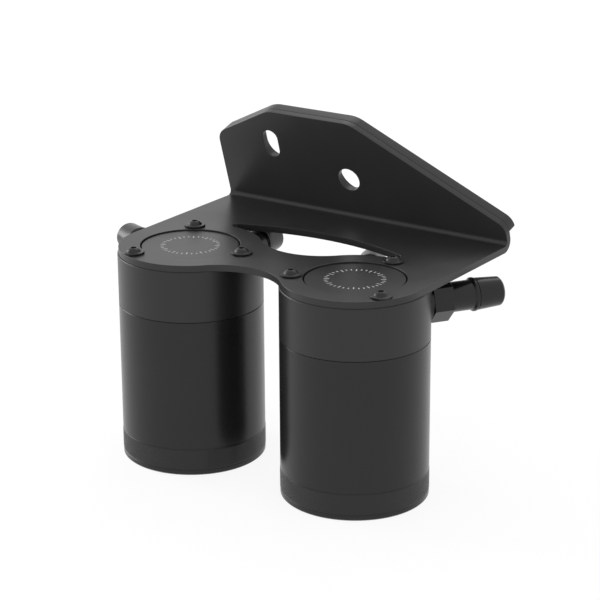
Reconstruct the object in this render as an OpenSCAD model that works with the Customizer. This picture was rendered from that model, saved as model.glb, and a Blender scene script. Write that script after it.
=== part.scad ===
// Twin oil catch can: two round cans hang side by side under one bent sheet bracket.
// The origin is the centre of the right can's base. X runs along the pair towards the right can,
// Y runs back to the flange, and Z points up.

/* [Cans] */
// Outer diameter of a can
can_d = 63.5; // [62:0.5:66]
// Distance between the two can axes
can_spacing = 85.4; // [84:0.2:92]
// Height of the screw-on bowl
bowl_h = 70.2; // [60:0.5:100]
// Height of the machined head, between bowl and bracket
head_h = 22.5; // [21.8:0.1:26]
// Width of the rim between a head's round boss and the can's side
rim_w = 10.45; // [10.2:0.05:11.7]
// How far the boss top lies below the bracket's top face
boss_recess = 0.6; // [0.2:0.1:1.5]
// Thickness of the bowl's floor
bowl_floor = 5; // [3:0.5:8]
// Thickness of the bowl's wall beside its thread
bowl_wall = 3.9; // [3.5:0.1:5]
// Length of the head's threaded spigot inside the bowl
spigot_h = 8.5; // [6:0.5:12]
// Direction in which the right can's middle screw points, from +X
right_can_turn = 86; // [80:1:92]
// Direction in which the left can's middle screw points, from +X
left_can_turn = 122.6; // [114:0.2:124]

/* [Grip band] */
// Height of the grip band's lower edge above the base
band_low = 2.4; // [1.5:0.1:4]
// Height of the grip band
band_h = 9.6; // [6:0.1:14]
// Depth of the fine groove at each edge of the band
band_groove = 0.1; // [0.05:0.05:0.5]

/* [Bracket] */
// Thickness of the bracket's sheet
sheet = 3; // [2:0.5:4]
// How far the bracket's round ends stay inside the cans' outline
lobe_inset = 0.5; // [0.2:0.1:1.5]
// Width of the bracket's waist between the cans
waist_w = 25.6; // [20:0.2:30]
// Distance from the can axes to the window's back edge
window_back = 44.6; // [42:0.2:50]
// Radius of the window's curved back edge
window_arc_r = 108; // [104:1:125]
// Radius of the window's two pointed ends
window_tip_r = 2.5; // [1.5:0.1:3]
// Distance from the can axes to the start of the bend
bend_start = 70.7; // [66:0.1:78]
// Lean of the flange over the cans, from upright
flange_lean = 17; // [5:1:22]
// Inside radius of the bend
bend_r = 2; // [1:0.5:3]

/* [Flange outline] */
// Height of the flange along its own face, from the end of the bend
flange_h = 46.1; // [44:0.1:58]
// Height at which the left edge meets its slope
left_edge_h = 30.7; // [28:0.1:37]
// Height at which the right edge meets its slope
right_edge_h = 6.1; // [5.7:0.1:12]
// Left end of the top edge, from the bracket's middle
top_left = -43.5; // [-46:0.5:-38]
// Right end of the top edge, from the bracket's middle
top_right = 0.5; // [-2:0.5:8]
// Radius of the outline's two lower corners
low_corner_r = 7; // [5:0.5:7.5]
// Radius of the outline's two top corners
top_corner_r = 14; // [8:1:18]

/* [Flange fixings] */
// Width of the slot
slot_w = 8; // [6:0.5:9]
// Length of the slot from end to end
slot_l = 13.5; // [11:0.5:16]
// Centre of the slot, from the bracket's middle
slot_x = -44.3; // [-48:0.1:-40]
// Depth of the slot's centre below the flange's top edge
slot_down = 16.8; // [15:0.1:20]
// Diameter of the round hole
hole_d = 11; // [8:0.5:12]
// Centre of the round hole, from the bracket's middle
hole_x = -4.5; // [-10:0.1:0]
// Height of the round hole's centre along the flange
hole_up = 16.9; // [15:0.1:24]
// Thickness of the backing plate
backing_t = 5; // [3:0.5:6]
// Height at which the backing plate starts
backing_start = 2.6; // [2:0.1:5]
// Room that the backing plate leaves round the slot and the hole
backing_room = 3.8; // [2:0.1:4]

/* [Mounting screws] */
// Distance of the screws' axes from the can's side
screw_in = 4.95; // [4.7:0.05:5.4]
// Diameter of a screw's thread
screw_d = 4; // [3:1:5]
// Diameter of the thin collar round a screw's head
screw_head_d = 9.3; // [8.5:0.1:9.5]
// Diameter of the dome on the collar
screw_dome_d = 6.4; // [5.6:0.1:7.4]
// Thickness of the collar
screw_collar_h = 0.9; // [0.6:0.1:1.2]
// Height of a screw's head, collar and dome together
screw_head_h = 2.75; // [2.2:0.05:3.2]
// Length of a screw below its head
screw_l = 12; // [10:1:13]

/* [Hose fittings] */
// Angle of each fitting from the middle screw
port_angle = 30; // [28:1:34]
// Depth of the fittings' axis below the bracket's top face
port_drop = 14.3; // [14:0.1:15]
// Width of a fitting's hexagon across its flats
hex_af = 17; // [16.5:0.5:18]
// Room between the can's side and a fitting's hexagon
hex_gap = 1.05; // [0.5:0.05:3]
// Length of the hexagon
hex_l = 9; // [7:0.5:9]
// Turn of the hexagon, from one corner pointing straight down
hex_turn = -16; // [-30:1:30]
// Diameter of the hose neck
neck_d = 12.9; // [11:0.1:13.2]
// Length of the hose neck
neck_l = 10.8; // [8:0.1:14]
// Diameter of the ridge behind the hose nose
ridge_d = 14.6; // [14:0.1:15]
// Length of the tapered hose nose
nose_l = 12.1; // [8:0.1:14]
// Diameter of the fitting's bore
fitting_bore_d = 9; // [7:0.5:9.5]
// Diameter of the threaded end inside the head
stub_d = 16.8; // [15:0.2:17]

/* [Inside] */
// Outer diameter of the sintered filter
filter_d = 19; // [16:0.5:21]
// Length of the filter
filter_l = 22; // [16:0.5:26]
// Room between the baffle's rim and the bowl
baffle_gap = 1.65; // [0.8:0.05:4]
// Height of the baffle's turned-up rim
baffle_rim_h = 4; // [3:0.5:6]
// Number of drain holes in the baffle
drain_count = 8; // [4:1:10]
// Diameter of a drain hole
drain_d = 5.2; // [3:0.2:6]

/* [Hidden] */
$fn = 96;

// Clearances
thread_gap = 0.05;
seam_gap = 0.1;
boss_gap = 0.5;
screw_hole_gap = 0.25;
seal_gap = 0.2;
eps = 0.01;
past = 1;
// How far a round corner stands past its tangent lines, so that the outlines cross cleanly
crossing = 0.01;

// Heights
head_z = bowl_h + seam_gap;
plate_low = head_z + head_h;
plate_top = plate_low + sheet;
boss_top = plate_top - boss_recess;
port_z = plate_top - port_drop;
spigot_low = head_z - spigot_h;

// Can radii
can_r = can_d / 2;
boss_r = can_r - rim_w;
screw_ring_r = can_r - screw_in;
bore_r = can_r - bowl_wall;
spigot_r = bore_r - thread_gap;
edge_break = 0.5;
seam_break = 0.2;
head_break = 0.3;
base_break = 0.6;

// Bowl seal, a ring of round section in a step of the bowl's mouth
seal_r = 0.8;
seal_ring_r = spigot_r + 2 * seal_gap + seal_r;
seal_step_r = seal_ring_r + seal_r + seal_gap;
seal_step_h = 2 * seal_r + 1.5 * seal_gap;
seal_z = bowl_h - seal_step_h + seal_gap * 0.75 + seal_r;

// Inside of the head
hub_r = 11;
chamber_r = 6;
chamber_roof = port_z + 4.5;
spigot_wall = 3.3;
recess_up = 1.5;
drop_ring_r = 17.5;
passage_r = 5;
stub_in = 21.5;
bolt_r = 2;
bolt_thread_up = 4;
bolt_head_af = 7;
bolt_head_h = 2.8;
bolt_hole_gap = 0.15;
filter_floor = 3;
baffle_t = 1.6;
baffle_z = spigot_low - filter_l - baffle_t;
baffle_r = bore_r - baffle_gap;
drain_ring_r = (filter_d / 2 + baffle_r) / 2;

// Bracket outline, measured from the bracket's middle
half_span = can_spacing / 2;
lobe_r = can_r - lobe_inset;
half_w = half_span + lobe_r;
fillet_r = (half_span ^ 2 + (waist_w / 2) ^ 2 - lobe_r ^ 2) / (2 * (lobe_r - waist_w / 2));
fillet_y = waist_w / 2 + fillet_r;

// The window's back arc and the round tip that touches both the arc and the can's lobe
arc_y = window_back - window_arc_r;
arc_to_tip = window_arc_r - window_tip_r;
lobe_to_tip = lobe_r + window_tip_r;
arc_to_lobe = norm([half_span, arc_y]);
along = (arc_to_tip ^ 2 - lobe_to_tip ^ 2 + arc_to_lobe ^ 2) / (2 * arc_to_lobe);
aside = sqrt(arc_to_tip ^ 2 - along ^ 2);
to_lobe = [half_span, -arc_y] / arc_to_lobe;
tip = [0, arc_y] + along * to_lobe + aside * [-to_lobe[1], to_lobe[0]];
tip_in_lobe = [half_span, 0] + (tip - [half_span, 0]) * (lobe_r - past) / lobe_to_tip;
tip_past_arc = [0, arc_y] + (tip - [0, arc_y]) * (window_arc_r + past) / arc_to_tip;

// Side of the bent sheet, measured from the centre of the bend
bend_turn = 90 + flange_lean;
bend_steps = 24;
up_flange = [cos(bend_turn), sin(bend_turn)];
off_flange = [sin(bend_turn), -cos(bend_turn)];
slot_up = flange_h - slot_down;

// Hose fitting, measured outwards from the can axis
hex_at = can_r + hex_gap;
hex_out = hex_at + hex_l;
ridge_l = 2;
groove_l = 0.4;
groove_deep = 0.35;
ridge_at = hex_out + neck_l;
nose_at = ridge_at + ridge_l + groove_l;
nose_big_r = ridge_d / 2 - 0.3;
nose_small_r = neck_d / 2 - 0.15;
tip_round = 1;
fitting_end = nose_at + nose_l;

function unit(v) = v / norm(v);

// The start, centre and end of the arc that rounds corner b of the path a, b, c
function corner(a, b, c, r) =
    let (to_a = unit(a - b), to_c = unit(c - b), half = acos(to_a * to_c) / 2, reach = r / tan(half))
    [b + to_a * reach, b + unit(to_a + to_c) * r / sin(half), b + to_c * reach];

module at_left() { translate([-can_spacing, 0, 0]) rotate([0, 0, left_can_turn]) children(); }

module at_right() { rotate([0, 0, right_can_turn]) children(); }

// Puts a flat outline on the flange: X stays, and the outline's Y runs up the flange from the bend
module on_flange(depth, thickness) {
    translate([-half_span, bend_start, plate_top + bend_r])
        rotate([bend_turn, 0, 0])
            translate([0, 0, -bend_r - depth])
                linear_extrude(thickness)
                    children();
}

module both_ends() {
    children();
    mirror([1, 0]) children();
}

module lobes() { both_ends() translate([half_span, 0]) circle(lobe_r + crossing); }

module window() {
    lead = unit([half_span, -fillet_y]) * (fillet_r + past);
    side = [
        [lead[0], fillet_y + lead[1]], tip_in_lobe, tip, tip_past_arc, [tip_past_arc[0], window_back + past]
    ];
    intersection() {
        translate([0, arc_y]) circle(window_arc_r, $fn = 360);
        union() {
            translate([0, fillet_y]) circle(fillet_r + crossing);
            difference() {
                polygon(concat(side, [for (i = [4 : -1 : 0]) [-side[i][0], side[i][1]]]));
                lobes();
            }
        }
    }
    both_ends() translate(tip) circle(window_tip_r + crossing);
}

module plate_outline() {
    difference() {
        union() {
            lobes();
            translate([-half_w, 0]) square([2 * half_w, bend_start + past]);
            polygon([[-half_span, 0], [half_span, 0], [0, -fillet_y]]);
        }
        translate([0, -fillet_y]) circle(fillet_r + crossing);
        window();
    }
}

// The flange's face with its four rounded corners, from below the end of the bend up
module flange_outline() {
    low_left = [-half_w, -bend_r - past];
    low_right = [half_w, -bend_r - past];
    right = [half_w, right_edge_h];
    peak_right = [top_right, flange_h];
    peak_left = [top_left, flange_h];
    left = [-half_w, left_edge_h];
    arcs = [
        corner(low_right, right, peak_right, low_corner_r),
        corner(right, peak_right, peak_left, top_corner_r),
        corner(peak_right, peak_left, left, top_corner_r),
        corner(peak_left, left, low_left, low_corner_r)
    ];
    radii = [low_corner_r, top_corner_r, top_corner_r, low_corner_r];
    polygon(concat([low_left, low_right], [for (arc = arcs, end = [0, 2]) arc[end]]));
    for (i = [0 : 3]) translate(arcs[i][1]) circle(radii[i] + crossing);
}

module fixings(room) {
    translate([hole_x, hole_up]) circle(hole_d / 2 + room);
    straight = slot_l - slot_w;
    translate([slot_x, slot_up]) {
        for (end = [-1, 1]) translate([0, end * straight / 2]) circle(slot_w / 2 + room + crossing);
        translate([-slot_w / 2 - room, -straight / 2]) square([slot_w + 2 * room, straight]);
    }
}

// One surface of the bent sheet seen from the side, from the plate's front round to the flange's top
function bend_side(r) = concat(
    [[-bend_start - can_d, -r]],
    [for (i = [0 : bend_steps]) r * [sin(i * bend_turn / bend_steps), -cos(i * bend_turn / bend_steps)]],
    [r * off_flange + (flange_h + past) * up_flange]
);

module bent_sheet() {
    inner = bend_side(bend_r);
    outer = bend_side(bend_r + sheet);
    translate([-half_span - half_w - past, bend_start, plate_top + bend_r])
        rotate([90, 0, 90])
            linear_extrude(2 * (half_w + past))
                polygon(concat(inner, [for (i = [len(outer) - 1 : -1 : 0]) outer[i]]));
}

module bracket() color([0.16, 0.16, 0.17]) {
    difference() {
        intersection() {
            bent_sheet();
            union() {
                translate([-half_span, 0, plate_low - past])
                    linear_extrude(sheet + 2 * past) plate_outline();
                translate([-half_span - half_w, bend_start - past, plate_low - past])
                    cube([2 * half_w, can_r, sheet + bend_r + past]);
                on_flange(sheet + past, sheet + bend_r + past) flange_outline();
            }
        }
        on_flange(sheet + past, sheet + 2 * past) fixings(0);
        for (can = [0, 1]) {
            translate([-can * can_spacing, 0, plate_low - past])
                rotate([0, 0, can == 0 ? right_can_turn : left_can_turn]) {
                    cylinder(h = sheet + 2 * past, r = boss_r + boss_gap);
                    for (turn = [0 : 120 : 240])
                        rotate([0, 0, turn]) translate([screw_ring_r, 0, 0])
                            cylinder(h = sheet + 2 * past, r = screw_d / 2 + screw_hole_gap);
                }
        }
    }
}

module backing_plate() color([0.2, 0.2, 0.21])
    on_flange(sheet + backing_t, backing_t) difference() {
        intersection() {
            flange_outline();
            translate([-half_w - past, backing_start]) square([2 * (half_w + past), flange_h]);
        }
        fixings(backing_room);
    }

// Bores one port into the head: the threaded mouth, then a narrower way in to a given radius
module port_hole(turn, inner) {
    translate([0, 0, port_z]) rotate([0, 90, turn]) {
        translate([0, 0, stub_in]) cylinder(h = can_r, r = stub_d / 2 + thread_gap);
        translate([0, 0, inner]) cylinder(h = stub_in - inner + past, r = passage_r);
    }
}

module head() color([0.12, 0.12, 0.125])
    difference() {
        rotate_extrude() polygon([
            [0, spigot_low], [spigot_r - edge_break, spigot_low], [spigot_r, spigot_low + edge_break],
            [spigot_r, head_z], [can_r - seam_break, head_z], [can_r, head_z + seam_break],
            [can_r, plate_low - head_break], [can_r - head_break, plate_low],
            [boss_r, plate_low], [boss_r, boss_top - edge_break / 2],
            [boss_r - edge_break / 2, boss_top], [0, boss_top]
        ]);
        translate([0, 0, spigot_low - past]) difference() {
            cylinder(h = spigot_h + recess_up + past, r = spigot_r - spigot_wall);
            cylinder(h = spigot_h + recess_up + past, r = hub_r);
        }
        translate([0, 0, spigot_low - past]) cylinder(h = chamber_roof - spigot_low + past, r = chamber_r);
        translate([0, 0, chamber_roof - past])
            cylinder(h = bolt_thread_up + past, r = bolt_r + thread_gap);
        port_hole(-port_angle, drop_ring_r);
        port_hole(port_angle, 0);
        rotate([0, 0, -port_angle]) translate([drop_ring_r, 0, head_z])
            cylinder(h = port_z - head_z, r = passage_r);
        for (turn = [0 : 120 : 240])
            rotate([0, 0, turn]) translate([screw_ring_r, 0, plate_top - screw_l - past])
                cylinder(h = screw_l + 2 * past, r = screw_d / 2 + thread_gap);
    }

module bowl() color([0.12, 0.12, 0.125])
    rotate_extrude() polygon([
        [0, 0], [can_r - base_break, 0], [can_r, base_break],
        [can_r, band_low - band_groove], [can_r - band_groove, band_low], [can_r, band_low + band_groove],
        [can_r, band_low + band_h - band_groove], [can_r - band_groove, band_low + band_h],
        [can_r, band_low + band_h + band_groove],
        [can_r, bowl_h - seam_break], [can_r - seam_break, bowl_h],
        [seal_step_r, bowl_h], [seal_step_r, bowl_h - seal_step_h], [bore_r, bowl_h - seal_step_h],
        [bore_r, bowl_floor + 2], [bore_r - 2, bowl_floor], [0, bowl_floor]
    ]);

module bowl_seal() color([0.05, 0.05, 0.05])
    rotate_extrude() translate([seal_ring_r, seal_z]) circle(seal_r, $fn = 32);

module filter() color([0.66, 0.5, 0.3])
    translate([0, 0, spigot_low - filter_l]) difference() {
        cylinder(h = filter_l, r = filter_d / 2);
        translate([0, 0, filter_floor]) cylinder(h = filter_l, r = chamber_r);
        translate([0, 0, -past]) cylinder(h = filter_l, r = bolt_r + bolt_hole_gap);
    }

module baffle() color([0.7, 0.71, 0.72])
    difference() {
        translate([0, 0, baffle_z]) cylinder(h = baffle_rim_h, r = baffle_r);
        translate([0, 0, baffle_z + baffle_t]) cylinder(h = baffle_rim_h, r = baffle_r - baffle_t);
        translate([0, 0, baffle_z - past]) {
            cylinder(h = baffle_rim_h, r = bolt_r + bolt_hole_gap);
            for (i = [0 : drain_count - 1])
                rotate([0, 0, i * 360 / drain_count]) translate([drain_ring_r, 0, 0])
                    cylinder(h = baffle_rim_h, r = drain_d / 2);
        }
    }

module filter_bolt() color([0.75, 0.75, 0.77]) {
    translate([0, 0, baffle_z - bolt_head_h]) cylinder(h = bolt_head_h, d = bolt_head_af / cos(30), $fn = 6);
    translate([0, 0, baffle_z - past])
        cylinder(h = chamber_roof + bolt_thread_up - past - baffle_z + past, r = bolt_r);
}

// One hose fitting, screwed into the port at a given turn from the middle screw
module hose_fitting(turn) color([0.1, 0.1, 0.105])
    translate([0, 0, port_z]) rotate([0, 90, turn]) difference() {
        union() {
            rotate_extrude() polygon([
                [0, stub_in + past], [stub_d / 2 - edge_break, stub_in + past],
                [stub_d / 2, stub_in + past + edge_break], [stub_d / 2, hex_at],
                [neck_d / 2, hex_at], [neck_d / 2, ridge_at],
                [ridge_d / 2, ridge_at + ridge_l / 2], [ridge_d / 2, ridge_at + ridge_l],
                [nose_big_r - groove_deep, ridge_at + ridge_l], [nose_big_r - groove_deep, nose_at],
                [nose_big_r, nose_at], [nose_small_r, fitting_end - tip_round],
                [nose_small_r - tip_round, fitting_end], [0, fitting_end]
            ]);
            translate([0, 0, hex_at]) rotate([0, 0, hex_turn])
                cylinder(h = hex_l, d = hex_af / cos(30), $fn = 6);
        }
        translate([0, 0, stub_in]) cylinder(h = fitting_end, r = fitting_bore_d / 2);
    }

// One button-head screw with a collar, through the bracket into the head
module screw(number) {
    dome_h = screw_head_h - screw_collar_h;
    ball_r = ((screw_dome_d / 2) ^ 2 + dome_h ^ 2) / (2 * dome_h);
    socket_af = screw_d * 0.6;
    color([0.09, 0.09, 0.09])
        rotate([0, 0, (number - 1) * 120]) translate([screw_ring_r, 0, plate_top]) difference() {
            union() {
                cylinder(h = screw_collar_h, r = screw_head_d / 2);
                intersection() {
                    translate([0, 0, screw_head_h - ball_r]) sphere(ball_r);
                    translate([0, 0, screw_collar_h / 2]) cylinder(h = screw_head_h, r = screw_head_d / 2);
                }
                translate([0, 0, -screw_l]) cylinder(h = screw_l + eps, r = screw_d / 2);
            }
            translate([0, 0, screw_head_h - socket_af / 2])
                cylinder(h = socket_af, d = socket_af / cos(30), $fn = 6);
        }
}

bracket();
backing_plate();
at_left() head();  // left_head
at_left() bowl();  // left_bowl
at_left() bowl_seal();  // left_bowl_seal
at_left() filter();  // left_filter
at_left() baffle();  // left_baffle
at_left() filter_bolt();  // left_filter_bolt
at_left() hose_fitting(-port_angle);  // left_inlet_fitting
at_left() hose_fitting(port_angle);  // left_outlet_fitting
at_left() screw(1);  // left_screw_1
at_left() screw(2);  // left_screw_2
at_left() screw(3);  // left_screw_3
at_right() head();  // right_head
at_right() bowl();  // right_bowl
at_right() bowl_seal();  // right_bowl_seal
at_right() filter();  // right_filter
at_right() baffle();  // right_baffle
at_right() filter_bolt();  // right_filter_bolt
at_right() hose_fitting(-port_angle);  // right_inlet_fitting
at_right() hose_fitting(port_angle);  // right_outlet_fitting
at_right() screw(1);  // right_screw_1
at_right() screw(2);  // right_screw_2
at_right() screw(3);  // right_screw_3
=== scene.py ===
import math

import bmesh
import bpy
from mathutils import Matrix, Vector


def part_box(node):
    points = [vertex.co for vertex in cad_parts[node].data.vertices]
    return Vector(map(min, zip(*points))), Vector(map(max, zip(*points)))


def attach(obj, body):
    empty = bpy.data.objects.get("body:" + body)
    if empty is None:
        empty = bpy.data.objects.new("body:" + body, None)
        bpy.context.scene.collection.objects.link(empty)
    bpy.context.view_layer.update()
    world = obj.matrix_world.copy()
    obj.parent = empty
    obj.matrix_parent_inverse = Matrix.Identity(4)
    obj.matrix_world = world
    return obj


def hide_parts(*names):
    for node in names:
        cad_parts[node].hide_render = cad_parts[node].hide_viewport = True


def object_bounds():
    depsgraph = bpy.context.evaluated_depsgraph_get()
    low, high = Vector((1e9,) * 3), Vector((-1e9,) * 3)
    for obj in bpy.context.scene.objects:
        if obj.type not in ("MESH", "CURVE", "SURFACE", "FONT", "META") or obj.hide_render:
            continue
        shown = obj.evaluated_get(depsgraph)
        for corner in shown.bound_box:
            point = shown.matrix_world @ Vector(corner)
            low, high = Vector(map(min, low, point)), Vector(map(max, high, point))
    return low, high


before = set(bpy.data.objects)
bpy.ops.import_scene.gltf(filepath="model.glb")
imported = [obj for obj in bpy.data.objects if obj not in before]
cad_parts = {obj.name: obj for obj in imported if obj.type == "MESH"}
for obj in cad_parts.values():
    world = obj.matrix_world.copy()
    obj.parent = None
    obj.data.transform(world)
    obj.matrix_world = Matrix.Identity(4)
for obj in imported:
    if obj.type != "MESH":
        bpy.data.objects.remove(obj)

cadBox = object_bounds()
mm = 0.001
sides = ("left", "right")
print("frame loaded:", len(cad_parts), "nodes")


# The can's axis at floor level, and its radius, both read from the frame
def canFoot(side):
    low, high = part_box(side + "_bowl")
    return Vector(((low.x + high.x) / 2, (low.y + high.y) / 2, low.z))


def canRadius(side):
    low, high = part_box(side + "_bowl")
    return (high.x - low.x) / 2


# Starts a material, and gives its node tree, its shader and the object coordinates
def startMaterial(name):
    material = bpy.data.materials.new(name)
    material.use_nodes = True
    tree = material.node_tree
    shader = tree.nodes["Principled BSDF"]
    place = tree.nodes.new("ShaderNodeTexCoord").outputs["Object"]
    return material, tree, shader, place


def noise(tree, place, scale, stretch=(1, 1, 1)):
    mapping = tree.nodes.new("ShaderNodeMapping")
    mapping.inputs["Scale"].default_value = stretch
    tree.links.new(place, mapping.inputs["Vector"])
    texture = tree.nodes.new("ShaderNodeTexNoise")
    texture.inputs["Scale"].default_value = scale
    texture.inputs["Detail"].default_value = 2
    tree.links.new(mapping.outputs["Vector"], texture.inputs["Vector"])
    return texture.outputs["Fac"]


# Spreads a 0 to 1 pattern between two values
def spread(tree, pattern, low, high, fromLow=0.3, fromHigh=0.7):
    node = tree.nodes.new("ShaderNodeMapRange")
    node.inputs["From Min"].default_value = fromLow
    node.inputs["From Max"].default_value = fromHigh
    node.inputs["To Min"].default_value = low
    node.inputs["To Max"].default_value = high
    tree.links.new(pattern, node.inputs["Value"])
    return node.outputs["Result"]


def blendColours(tree, pattern, first, second):
    node = tree.nodes.new("ShaderNodeMix")
    node.data_type = "RGBA"
    node.inputs["A"].default_value = (*first, 1)
    node.inputs["B"].default_value = (*second, 1)
    tree.links.new(pattern, node.inputs["Factor"])
    return node.outputs["Result"]


def addBump(tree, shader, height, distance):
    node = tree.nodes.new("ShaderNodeBump")
    node.inputs["Strength"].default_value = 1
    node.inputs["Distance"].default_value = distance
    tree.links.new(height, node.inputs["Height"])
    tree.links.new(node.outputs["Normal"], shader.inputs["Normal"])


# A smooth finish: clouds in the colour and roughness, and a fine grain in the surface
def coatedMetal(name, look):
    material, tree, shader, place = startMaterial(name)
    shader.inputs["Metallic"].default_value = look["metallic"]
    shader.inputs["Specular IOR Level"].default_value = look["specular"]
    cloud = noise(tree, place, look["cloudScale"])
    tint = blendColours(tree, cloud, look["dark"], look["light"])
    tree.links.new(tint, shader.inputs["Base Color"])
    grain = noise(tree, place, look["grainScale"], look["grainStretch"])
    tree.links.new(spread(tree, cloud, *look["roughness"]), shader.inputs["Roughness"])
    addBump(tree, shader, grain, look["grainHeight"])
    return material


powderLook = {
    "dark": (0.025, 0.025, 0.026), "light": (0.031, 0.031, 0.032),
    "metallic": 0.0, "specular": 0.31, "roughness": (0.31, 0.36),
    "cloudScale": 40, "grainScale": 2600, "grainStretch": (1, 1, 1), "grainHeight": 0.012 * mm,
}
anodisedLook = {
    "dark": (0.0085, 0.0085, 0.009), "light": (0.0115, 0.0115, 0.012),
    "metallic": 0.0, "specular": 0.35, "roughness": (0.25, 0.29),
    "cloudScale": 30, "grainScale": 1500, "grainStretch": (1, 1, 6), "grainHeight": 0.008 * mm,
}
headLook = {**anodisedLook, "specular": 0.45, "roughness": (0.33, 0.38)}
fittingLook = {
    "dark": (0.006, 0.006, 0.006), "light": (0.010, 0.010, 0.010),
    "metallic": 0.0, "specular": 0.36, "roughness": (0.24, 0.30),
    "cloudScale": 90, "grainScale": 2400, "grainStretch": (1, 1, 1), "grainHeight": 0.006 * mm,
}
screwLook = {
    "dark": (0.006, 0.006, 0.006), "light": (0.010, 0.010, 0.010),
    "metallic": 0.25, "specular": 0.5, "roughness": (0.30, 0.38),
    "cloudScale": 200, "grainScale": 3000, "grainStretch": (1, 1, 1), "grainHeight": 0.01 * mm,
}
rubberLook = {
    "dark": (0.012, 0.012, 0.012), "light": (0.020, 0.020, 0.020),
    "metallic": 0.0, "specular": 0.4, "roughness": (0.60, 0.72),
    "cloudScale": 300, "grainScale": 3000, "grainStretch": (1, 1, 1), "grainHeight": 0.01 * mm,
}
aluminiumLook = {
    "dark": (0.66, 0.67, 0.69), "light": (0.76, 0.77, 0.78),
    "metallic": 1.0, "specular": 0.5, "roughness": (0.32, 0.42),
    "cloudScale": 60, "grainScale": 900, "grainStretch": (1, 12, 1), "grainHeight": 0.008 * mm,
}
steelLook = {
    "dark": (0.52, 0.53, 0.55), "light": (0.62, 0.63, 0.65),
    "metallic": 1.0, "specular": 0.5, "roughness": (0.25, 0.35),
    "cloudScale": 120, "grainScale": 1800, "grainStretch": (1, 1, 8), "grainHeight": 0.006 * mm,
}
markLook = {
    "dark": (0.52, 0.52, 0.52), "light": (0.70, 0.70, 0.70),
    "metallic": 0.0, "specular": 0.3, "roughness": (0.55, 0.70),
    "cloudScale": 900, "grainScale": 4000, "grainStretch": (1, 1, 1), "grainHeight": 0.004 * mm,
}


# Bronze beads sintered together: round grains, with painted shade darkening the pores between them
def sinteredBronze():
    look = {
        "beadScale": 1400, "poreShade": (0.10, 0.065, 0.03), "bead": (0.62, 0.43, 0.22), "height": 0.25 * mm,
        "metallic": 0.9, "roughness": 0.5,
    }
    material, tree, shader, place = startMaterial("sinteredBronze")
    shader.inputs["Metallic"].default_value = look["metallic"]
    shader.inputs["Roughness"].default_value = look["roughness"]
    beads = tree.nodes.new("ShaderNodeTexVoronoi")
    beads.inputs["Scale"].default_value = look["beadScale"]
    tree.links.new(place, beads.inputs["Vector"])
    height = spread(tree, beads.outputs["Distance"], 1, 0, 0, 0.8)
    # the colour darkens from the bead's centre to its edge: painted shade in the pores between beads
    tree.links.new(blendColours(tree, height, look["poreShade"], look["bead"]), shader.inputs["Base Color"])
    addBump(tree, shader, height, look["height"])
    return material


finishes = {
    "bracket": coatedMetal("powderCoat", powderLook),
    "backing_plate": coatedMetal("backingCoat", powderLook),
    "head": coatedMetal("anodisedHead", headLook),
    "bowl": coatedMetal("anodisedBowl", anodisedLook),
    "bowl_seal": coatedMetal("sealRubber", rubberLook),
    "filter": sinteredBronze(),
    "baffle": coatedMetal("bareAluminium", aluminiumLook),
    "filter_bolt": coatedMetal("boltSteel", steelLook),
    "fitting": coatedMetal("anodisedFitting", fittingLook),
    "screw": coatedMetal("blackScrew", screwLook),
    "mark": coatedMetal("etchedMark", markLook),
}


def finishOf(node):
    for ending, finish in finishes.items():
        if node.endswith(ending):
            return finish
    return finishes["screw"]


def dress(piece, material):
    piece.data.materials.clear()
    piece.data.materials.append(material)


for name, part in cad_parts.items():
    dress(part, finishOf(name))
print("finishes made:", len(finishes))


# Turns a finished bmesh into a piece that rides on a body
def makePiece(name, mesh, material, body, sharpAngle=30):
    data = bpy.data.meshes.new(name)
    mesh.to_mesh(data)
    mesh.free()
    piece = bpy.data.objects.new(name, data)
    bpy.context.scene.collection.objects.link(piece)
    dress(piece, material)
    data.shade_smooth()
    data.set_sharp_from_angle(angle=math.radians(sharpAngle))
    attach(piece, body)
    return piece


# A CAD node's mesh with its corners merged and its flat faces joined
def copyMesh(node):
    clean = {"gap": 0.03 * mm, "flatAngle": math.radians(0.5)}
    mesh = bmesh.new()
    mesh.from_mesh(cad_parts[node].data)
    bmesh.ops.remove_doubles(mesh, verts=mesh.verts, dist=clean["gap"])
    bmesh.ops.dissolve_limit(mesh, angle_limit=clean["flatAngle"], verts=mesh.verts, edges=mesh.edges)
    return mesh


# Makes a piece that stands for a CAD node, with its flat faces shaded flat
def standIn(mesh, node, name, body):
    piece = makePiece(name, mesh, finishOf(node), body, sharpAngle=40)
    flatter = piece.modifiers.new("flatter", "WEIGHTED_NORMAL")
    flatter.keep_sharp = True
    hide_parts(node)


# A copy of a CAD node whose sharp edges are rounded, which stands for the node. The clamp holds the
# rounding back where an inner corner leaves no room for it
def roundedCopy(node, width, clamp):
    mesh = copyMesh(node)
    sharpAngle = math.radians(30)
    sharp = [edge for edge in mesh.edges if len(edge.link_faces) == 2 and edge.calc_face_angle() > sharpAngle]
    bmesh.ops.bevel(
        mesh, geom=sharp, offset=width, offset_type="OFFSET", affect="EDGES", segments=2,
        profile=0.5, material=-1, clamp_overlap=clamp
    )
    standIn(mesh, node, node + "Rounded", "frame")


edgeWidths = {"bracket": 0.18 * mm, "backing_plate": 0.4 * mm, "fitting": 0.18 * mm, "screw": 0.12 * mm}
roundedCopy("bracket", edgeWidths["bracket"], clamp=False)
roundedCopy("backing_plate", edgeWidths["backing_plate"], clamp=False)
for side in sides:
    for end in ("inlet", "outlet"):
        roundedCopy(f"{side}_{end}_fitting", edgeWidths["fitting"], clamp=True)
    for number in (1, 2, 3):
        roundedCopy(f"{side}_screw_{number}", edgeWidths["screw"], clamp=True)
print("edges rounded")


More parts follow.
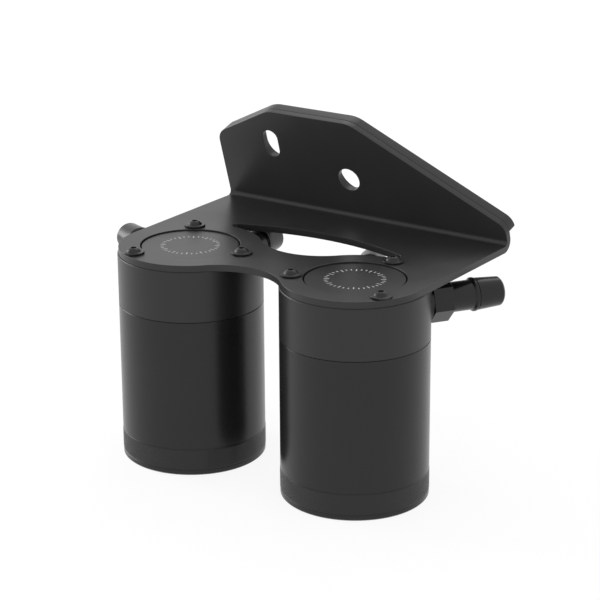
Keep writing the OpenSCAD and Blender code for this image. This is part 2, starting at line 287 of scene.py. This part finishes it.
# A copy of a head whose plain spigot is turned down and carries a screw thread of the same outer size
def threadedHead(side):
    thread = {
        "pitch": 2 * mm, "depth": 0.6 * mm, "crest": 0.3 * mm, "root": 1.5 * mm, "ends": 0.5 * mm,
        "sunk": 0.06 * mm, "seam": 0.2 * mm, "steps": 64,
    }
    foot = canFoot(side)
    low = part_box(side + "_head")[0].z
    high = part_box(side + "_bowl")[1].z
    mesh = copyMesh(side + "_head")
    radii = {vert: (vert.co - foot).to_2d().length for vert in mesh.verts}
    spigotRadius = max(radius for vert, radius in radii.items() if vert.co.z < high - mm)
    share = 1 - thread["depth"] / spigotRadius
    for vert, radius in radii.items():
        if vert.co.z < high + thread["seam"] and abs(radius - spigotRadius) < thread["depth"]:
            vert.co.x = foot.x + (vert.co.x - foot.x) * share
            vert.co.y = foot.y + (vert.co.y - foot.y) * share
    inner = spigotRadius - thread["depth"] - thread["sunk"]
    start = low + thread["ends"] + thread["root"] / 2
    profile = (
        (inner, -thread["root"] / 2), (spigotRadius, -thread["crest"] / 2),
        (spigotRadius, thread["crest"] / 2), (inner, thread["root"] / 2)
    )
    corners = [mesh.verts.new((foot.x + out, foot.y, start + up)) for out, up in profile]
    ridge = mesh.faces.new(corners)
    turns = (high - low - 2 * thread["ends"] - thread["root"]) / thread["pitch"]
    steps = round(turns * thread["steps"])
    bmesh.ops.spin(
        mesh, geom=[ridge], cent=foot, axis=(0, 0, 1), angle=2 * math.pi * turns, steps=steps,
        dvec=(0, 0, turns * thread["pitch"] / steps)
    )
    bmesh.ops.recalc_face_normals(mesh, faces=mesh.faces)
    standIn(mesh, side + "_head", side + "_headThreaded", "frame")


for side in sides:
    threadedHead(side)
print("spigots threaded")


# The knurled grip near the foot of a bowl: a grid of quads rolled into a sleeve, each quad split along
# the groove, so that every second corner is the peak of a diamond
def gripKnurl(side):
    grip = {
        "low": 2.7 * mm, "high": 11.7 * mm, "columns": 400, "rows": 18,
        "peak": 0.12 * mm, "groove": 0.01 * mm, "seamGap": 0.005 * mm,
    }
    foot = canFoot(side)
    radius = canRadius(side)
    mesh = bmesh.new()
    bmesh.ops.create_grid(mesh, x_segments=grip["columns"], y_segments=grip["rows"], size=1)
    peaks = set()
    for vert in mesh.verts:
        column = round((vert.co.x + 1) / 2 * grip["columns"])
        row = round((vert.co.y + 1) / 2 * grip["rows"])
        isPeak = (column + row) % 2 == 0 and 0 < row < grip["rows"]
        if isPeak:
            peaks.add(vert)
        reach = radius + (grip["peak"] if isPeak else grip["groove"])
        angle = 2 * math.pi * column / grip["columns"]
        height = grip["low"] + (grip["high"] - grip["low"]) * row / grip["rows"]
        vert.co = foot + Vector((reach * math.cos(angle), reach * math.sin(angle), height))
    for face in list(mesh.faces):
        valley = [vert for vert in face.verts if vert not in peaks]
        if len(valley) == 2:
            bmesh.utils.face_split(face, valley[0], valley[1])
    bmesh.ops.remove_doubles(mesh, verts=mesh.verts, dist=grip["seamGap"])
    bmesh.ops.recalc_face_normals(mesh, faces=mesh.faces)
    makePiece(side + "Knurl", mesh, finishes["bowl"], side + "_bowl", sharpAngle=5)


# A plain ring of tick marks on the lid, every third one longer
def tickRing(side):
    ring = {
        "count": 36, "outer": 13 * mm, "short": 1.4 * mm, "long": 2.3 * mm, "width": 0.5 * mm,
        "rise": 0.02 * mm,
    }
    foot = canFoot(side)
    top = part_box(side + "_head")[1].z
    lid = Matrix.Translation((foot.x, foot.y, top))
    mesh = bmesh.new()
    for number in range(ring["count"]):
        length = ring["long"] if number % 3 == 0 else ring["short"]
        turn = Matrix.Rotation(2 * math.pi * number / ring["count"], 4, "Z")
        out = Matrix.Translation((ring["outer"] - length / 2, 0, 0))
        size = Matrix.Diagonal((length, ring["width"], 2 * ring["rise"], 1))
        bmesh.ops.create_cube(mesh, size=1, matrix=lid @ turn @ out @ size)
    makePiece(side + "TickRing", mesh, finishes["mark"], "frame")


for side in sides:
    gripKnurl(side)
    tickRing(side)
print("knurls and tick rings made")


# Gives 1 on camera, glossy and transmission rays, which see the white background
def seenRays(tree):
    paths = tree.nodes.new("ShaderNodeLightPath")
    seen = paths.outputs["Is Camera Ray"]
    for kind in ("Is Glossy Ray", "Is Transmission Ray"):
        either = tree.nodes.new("ShaderNodeMath")
        either.operation = "MAXIMUM"
        tree.links.new(seen, either.inputs[0])
        tree.links.new(paths.outputs[kind], either.inputs[1])
        seen = either.outputs["Value"]
    return seen


# Floor and backdrop: white where it is seen or reflected, with the object's shadow kept
def studioFloor():
    floor = {
        "size": 12, "dark": 0.845, "light": 0.855, "grainScale": 60, "roughness": 0.9, "specular": 0.1,
        "whiteShare": 0.8, "glow": 1.1,
    }
    mesh = bmesh.new()
    bmesh.ops.create_grid(mesh, x_segments=1, y_segments=1, size=floor["size"] / 2)
    data = bpy.data.meshes.new("studioFloor")
    mesh.to_mesh(data)
    mesh.free()
    piece = bpy.data.objects.new("studioFloor", data)
    piece.location.z = cadBox[0][2]
    bpy.context.scene.collection.objects.link(piece)
    material, tree, shader, place = startMaterial("paperFloor")
    grain = noise(tree, place, floor["grainScale"])
    tree.links.new(spread(tree, grain, floor["dark"], floor["light"]), shader.inputs["Base Color"])
    shader.inputs["Roughness"].default_value = floor["roughness"]
    shader.inputs["Specular IOR Level"].default_value = floor["specular"]
    glow = tree.nodes.new("ShaderNodeEmission")
    glow.inputs["Strength"].default_value = floor["glow"]
    share = tree.nodes.new("ShaderNodeMath")
    share.operation = "MULTIPLY"
    share.inputs[1].default_value = floor["whiteShare"]
    tree.links.new(seenRays(tree), share.inputs[0])
    mix = tree.nodes.new("ShaderNodeMixShader")
    tree.links.new(share.outputs["Value"], mix.inputs["Fac"])
    tree.links.new(shader.outputs["BSDF"], mix.inputs[1])
    tree.links.new(glow.outputs["Emission"], mix.inputs[2])
    tree.links.new(mix.outputs["Shader"], tree.nodes["Material Output"].inputs["Surface"])
    material.cycles.emission_sampling = "NONE"
    dress(piece, material)


# The room: soft light on the object, white where it is seen or reflected
def studioWorld():
    room = {"light": 0.6, "seen": 1.0}
    world = bpy.data.worlds.new("studioWorld")
    bpy.context.scene.world = world
    world.use_nodes = True
    tree = world.node_tree
    soft = tree.nodes["Background"]
    seen = tree.nodes.new("ShaderNodeBackground")
    for background, strength in ((soft, room["light"]), (seen, room["seen"])):
        background.inputs["Color"].default_value = (1, 1, 1, 1)
        background.inputs["Strength"].default_value = strength
    mix = tree.nodes.new("ShaderNodeMixShader")
    tree.links.new(seenRays(tree), mix.inputs["Fac"])
    tree.links.new(soft.outputs["Background"], mix.inputs[1])
    tree.links.new(seen.outputs["Background"], mix.inputs[2])
    tree.links.new(mix.outputs["Shader"], tree.nodes["World Output"].inputs["Surface"])


# A soft rectangular lamp turned towards a point
def softbox(name, place, target, size, power, shines):
    light = bpy.data.lights.new(name, "AREA")
    light.shape = "RECTANGLE"
    light.size, light.size_y = size
    light.energy = power
    lamp = bpy.data.objects.new(name, light)
    lamp.location = place
    lamp.rotation_euler = (Vector(target) - Vector(place)).to_track_quat("-Z", "Y").to_euler()
    lamp.visible_glossy = shines  # a fill lamp leaves no highlight
    bpy.context.scene.collection.objects.link(lamp)


aim = (canFoot("left") + canFoot("right")) / 2 + Vector((0, 0, 50 * mm))
lamps = {
    "overhead": {"place": (-0.35, 0.80, 1.05), "size": (0.7, 0.7), "power": 2.4, "shines": True},
    "leftSide": {"place": (-1.40, -0.10, 0.45), "size": (0.7, 0.8), "power": 8, "shines": True},
    "frontFill": {"place": (0.30, -1.30, 0.12), "size": (0.8, 0.2), "power": 4, "shines": False},
}
studioFloor()
studioWorld()
for name, lamp in lamps.items():
    softbox(name, lamp["place"], aim, lamp["size"], lamp["power"], lamp["shines"])
print("studio made")


# The camera of the photograph
view = {
    "place": (453.3 * mm, -701.4 * mm, 373.0 * mm), "azimuth": 34.44, "elevation": 18.96, "roll": -0.37,
    "lens": 127.61, "sensor": 36,
}
cameraData = bpy.data.cameras.new("photoCamera")
cameraData.lens = view["lens"]
cameraData.sensor_width = view["sensor"]
cameraData.sensor_fit = "HORIZONTAL"
cameraData.clip_start = 0.01
camera = bpy.data.objects.new("photoCamera", cameraData)
camera.matrix_world = (
    Matrix.Translation(view["place"])
    @ Matrix.Rotation(math.radians(view["azimuth"]), 4, "Z")
    @ Matrix.Rotation(math.radians(90 - view["elevation"]), 4, "X")
    @ Matrix.Rotation(math.radians(view["roll"]), 4, "Z")
)
bpy.context.scene.collection.objects.link(camera)
bpy.context.scene.camera = camera
bpy.context.scene.view_settings.view_transform = "Standard"
print("camera set")
